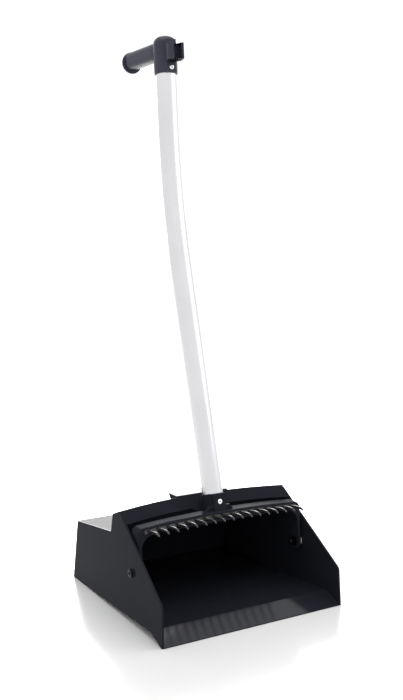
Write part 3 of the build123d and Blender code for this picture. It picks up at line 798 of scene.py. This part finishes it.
@dataclass
class Stem:
    """The yoke, the bent tube and the two blind rivets."""

    body: str = "handle"
    edge: float = 0.5 * MM
    radius: float = 16 * MM
    wall: float = 1.3 * MM
    foot: tuple[float, float] = (-77.6 * MM, 134 * MM)
    lean_low: float = math.radians(15.15)
    lean_top: float = math.radians(3.95)
    bend_radius: float = 1200 * MM
    low_long: float = 382 * MM
    top_long: float = 110 * MM
    seat_out: float = 18.9 * MM
    low_rivet: float = 20.9 * MM
    top_rivet: float = -31 * MM
    rivet_radius: float = 3.7 * MM
    rivet_thick: float = 1.2 * MM
    rivet_bore: float = 1.2 * MM
    rivet_shank: float = 2.0 * MM
    rivet_deep: float = 3.0 * MM     # how far the drawn shank reaches below its head
    rim_round: float = 0.25 * MM
    rim_high: float = 0.2 * MM
    bore_land: float = 0.35 * MM     # flat ring round the bore
    rim_share: float = 0.45          # shares of the head's height in its rim and in its dome
    dome_share: float = 0.55

    def bend_start(self) -> tuple[float, float]:
        """Y and Z where the straight lower run ends."""
        return (self.foot[0] + self.low_long * math.sin(self.lean_low),
                self.foot[1] + self.low_long * math.cos(self.lean_low))

    def on_bend(self, lean: float) -> tuple[float, float]:
        """Y and Z of the bend where the tube leans by an angle in radians."""
        y, z = self.bend_start()
        return (y + self.bend_radius * (math.cos(lean) - math.cos(self.lean_low)),
                z + self.bend_radius * (math.sin(self.lean_low) - math.sin(lean)))

    def top(self) -> tuple[float, float]:
        """Y and Z of the tube's upper end."""
        y, z = self.on_bend(self.lean_top)
        return (y + self.top_long * math.sin(self.lean_top), z + self.top_long * math.cos(self.lean_top))

    def centreline(self, bend_steps: int = 40) -> list[tuple[float, float, float]]:
        """Points of the tube's middle line: a run, a bend and a run."""
        leans = [self.lean_low + (self.lean_top - self.lean_low) * k / bend_steps
                 for k in range(bend_steps + 1)]
        line = [self.foot, *[self.on_bend(lean) for lean in leans], self.top()]
        return [(0.0, y, z) for y, z in line]

    def tube(self) -> bpy.types.Object:
        """Sweep the tube and give it its wall."""
        points = self.centreline()
        mesh = bpy.data.meshes.new("bent_tube")
        mesh.from_pydata(points, [(k, k + 1) for k in range(len(points) - 1)], [])
        tube = TubeTree().apply(link_object("bent_tube", mesh), Finishes.TUBE, {
            "Radius": self.radius, "Sides": 96})
        work = bmesh.new()
        work.from_mesh(tube.data)
        work.faces.ensure_lookup_table()
        first = work.faces[0]
        outward = first.calc_center_median() - Vector((0, *self.foot))
        outward -= outward.project(Vector((0, math.sin(self.lean_low), math.cos(self.lean_low))))
        if first.normal.dot(outward) < 0:
            bmesh.ops.reverse_faces(work, faces=work.faces)
        work.to_mesh(tube.data)
        work.free()
        wall = tube.modifiers.new("wall", "SOLIDIFY")
        wall.thickness = self.wall
        wall.offset = -1.0
        plain_mesh(tube)
        return smooth_shading(tube, 40.0)

    def seats(self) -> list[tuple[Vector, Vector]]:
        """Place and outward direction of each rivet's head on its flat pad."""
        made = []
        for (y, z), lean, along in ((self.foot, self.lean_low, self.low_rivet),
                                    (self.top(), self.lean_top, self.top_rivet)):
            out = Vector((0, -math.cos(lean), math.sin(lean)))
            middle = Vector((0, y + along * math.sin(lean), z + along * math.cos(lean)))
            made.append((middle + out * self.seat_out, out))
        return made

    def rivets(self) -> bpy.types.Object:
        """Turn one domed rivet head with its open bore and seat it twice."""
        rim, thick, bore = self.rivet_radius, self.rivet_thick, self.rivet_bore
        land = bore + self.bore_land
        dome = [(land + (rim - bore - self.bore_land) * math.cos(math.radians(a)),
                 thick * self.rim_share + (math.sin(math.radians(a)) * thick * self.dome_share))
                for a in range(0, 91, 10)]
        outline = [(bore, -self.rivet_deep), (self.rivet_shank, -self.rivet_deep), (self.rivet_shank, 0.0),
                   (rim - self.rim_round, 0.0), (rim, self.rim_high), *dome,
                   (bore, thick - self.rim_round), (bore, -self.rivet_deep)]
        head = turned("rivet_head", outline)
        seated = SeatTree().seat("blind_rivets", head, self.seats(), Finishes.RIVET)
        return smooth_shading(seated, 40.0)

    def build(self) -> list[bpy.types.Object]:
        """Make the yoke, the tube and the rivets, and dress the mandrels."""
        yoke = rounded_copy("yoke", "yoke_moulding", self.edge)
        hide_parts("yoke")
        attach(dress(yoke, Finishes.YOKE.material()), self.body)
        tube = self.tube()
        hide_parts("tube")
        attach(dress(tube, Finishes.TUBE.material()), self.body)
        rivets = self.rivets()
        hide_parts("lower_rivet", "upper_rivet")
        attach(dress(rivets, Finishes.RIVET.material()), self.body)
        mandrels = [dress(frame["nodes"][f"{word}_rivet_mandrel"], Finishes.MANDREL.material())
                    for word in ("lower", "upper")]
        return [yoke, tube, rivets, *mandrels]


@dataclass
class Grip:
    """The head with its pistol grip, the end cap and the clip for a broom's stick."""

    body: str = "handle"
    skin: float = 0.7 * MM
    passes: int = 8
    edge: float = 0.4 * MM

    def build(self) -> list[bpy.types.Object]:
        """Make the three mouldings."""
        head = melted_copy("grip_head", "grip_moulding", self.skin, self.passes)
        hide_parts("grip_head")
        cap = rounded_copy("grip_end_cap", "grip_cap_moulding", self.edge)
        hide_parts("grip_end_cap")
        clip = rounded_copy("broom_clip", "broom_clip_moulding", self.edge)
        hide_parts("broom_clip")
        for piece in (head, cap, clip):
            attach(dress(piece, Finishes.GRIP.material()), self.body)
        return [head, cap, clip]


# ------------------------------------------------------------------ studio
@dataclass
class SoftBox:
    """A large area light aimed at a point."""

    name: str
    place: tuple[float, float, float]
    aim: tuple[float, float, float]
    size: tuple[float, float]
    power: float

    def build(self) -> bpy.types.Object:
        """Hang the light; only its shine is seen, never its panel."""
        light = bpy.data.lights.new(self.name, "AREA")
        light.shape = "RECTANGLE"
        light.size, light.size_y = self.size
        light.energy = self.power
        lamp = link_object(self.name, light)
        lamp.location = self.place
        lamp.rotation_mode = "QUATERNION"
        lamp.rotation_quaternion = (Vector(self.aim) - Vector(self.place)).to_track_quat("-Z", "Y")
        lamp.visible_camera = False
        return lamp


@dataclass
class Studio:
    """A white sheet under a white sky, with a few soft boxes and the camera."""

    sheet_half: float = 12.0
    sky: float = 1.08
    camera_place: tuple[float, float, float] = (-0.7275, -1.2933, 0.5573)
    camera_turn: float = math.radians(-30.10)
    camera_fall: float = math.radians(6.86)
    camera_roll: float = math.radians(-0.39)
    lens: float = 49.49
    sensor: float = 36.0
    boxes: list[SoftBox] = field(default_factory=lambda: [
        SoftBox("right_soft_box", (2.2, -1.2, 1.9), (0.0, 0.0, 0.45), (1.6, 2.2), 24.0),
        SoftBox("rear_soft_box", (1.2, 3.0, 1.1), (0.0, 0.0, 0.2), (2.0, 1.4), 36.0),
        SoftBox("top_soft_box", (-0.3, -0.3, 3.0), (0.0, 0.0, 0.0), (2.4, 2.4), 52.0),
    ])

    def sheet(self) -> None:
        """Lay the sheet on the floor level."""
        half = self.sheet_half
        mesh = bpy.data.meshes.new("studio_sheet")
        corners = [(-half, -half, 0), (half, -half, 0), (half, half, 0), (-half, half, 0)]
        mesh.from_pydata(corners, [], [(0, 1, 2, 3)])
        floor = dress(link_object("studio_sheet", mesh), Finishes.SHEET.material())

    def white_sky(self) -> None:
        """Surround everything with even white light."""
        world = bpy.data.worlds.new("white_sky")
        world.use_nodes = True
        background = world.node_tree.nodes["Background"]
        background.inputs["Color"].default_value = (1.0, 1.0, 1.0, 1.0)
        background.inputs["Strength"].default_value = self.sky
        bpy.context.scene.world = world
        bpy.context.scene.view_settings.view_transform = "Standard"

    def camera(self) -> None:
        """Set the camera up, left of the mouth and a little above it."""
        lens = bpy.data.cameras.new("camera")
        lens.lens = self.lens
        lens.sensor_width = self.sensor
        lens.clip_start, lens.clip_end = 0.05, 60.0
        camera = link_object("camera", lens)
        turn, fall = self.camera_turn, self.camera_fall
        back = Vector((math.sin(turn) * math.cos(fall), -math.cos(turn) * math.cos(fall), math.sin(fall)))
        level = (-back).to_track_quat("-Z", "Y").to_matrix().to_4x4()
        camera.matrix_world = (Matrix.Translation(self.camera_place) @ level
                               @ Matrix.Rotation(self.camera_roll, 4, "Z"))
        bpy.context.scene.camera = camera

    def build(self) -> None:
        """Set up the sheet, the sky, the lights and the camera."""
        self.sheet()
        self.white_sky()
        for box in self.boxes:
            box.build()
        self.camera()


def main() -> None:
    """Build every sub-assembly and the studio, and report each piece."""
    logging.basicConfig(level=logging.INFO, format="%(name)s: %(message)s")
    Studio().build()
    for part in (Pan(), Stem(), Comb(), Grip()):
        for piece in part.build():
            LOG.info("%s: %s, %d faces", type(part).__name__, piece.name, len(piece.data.polygons))


if __name__ == "__main__":
    main()
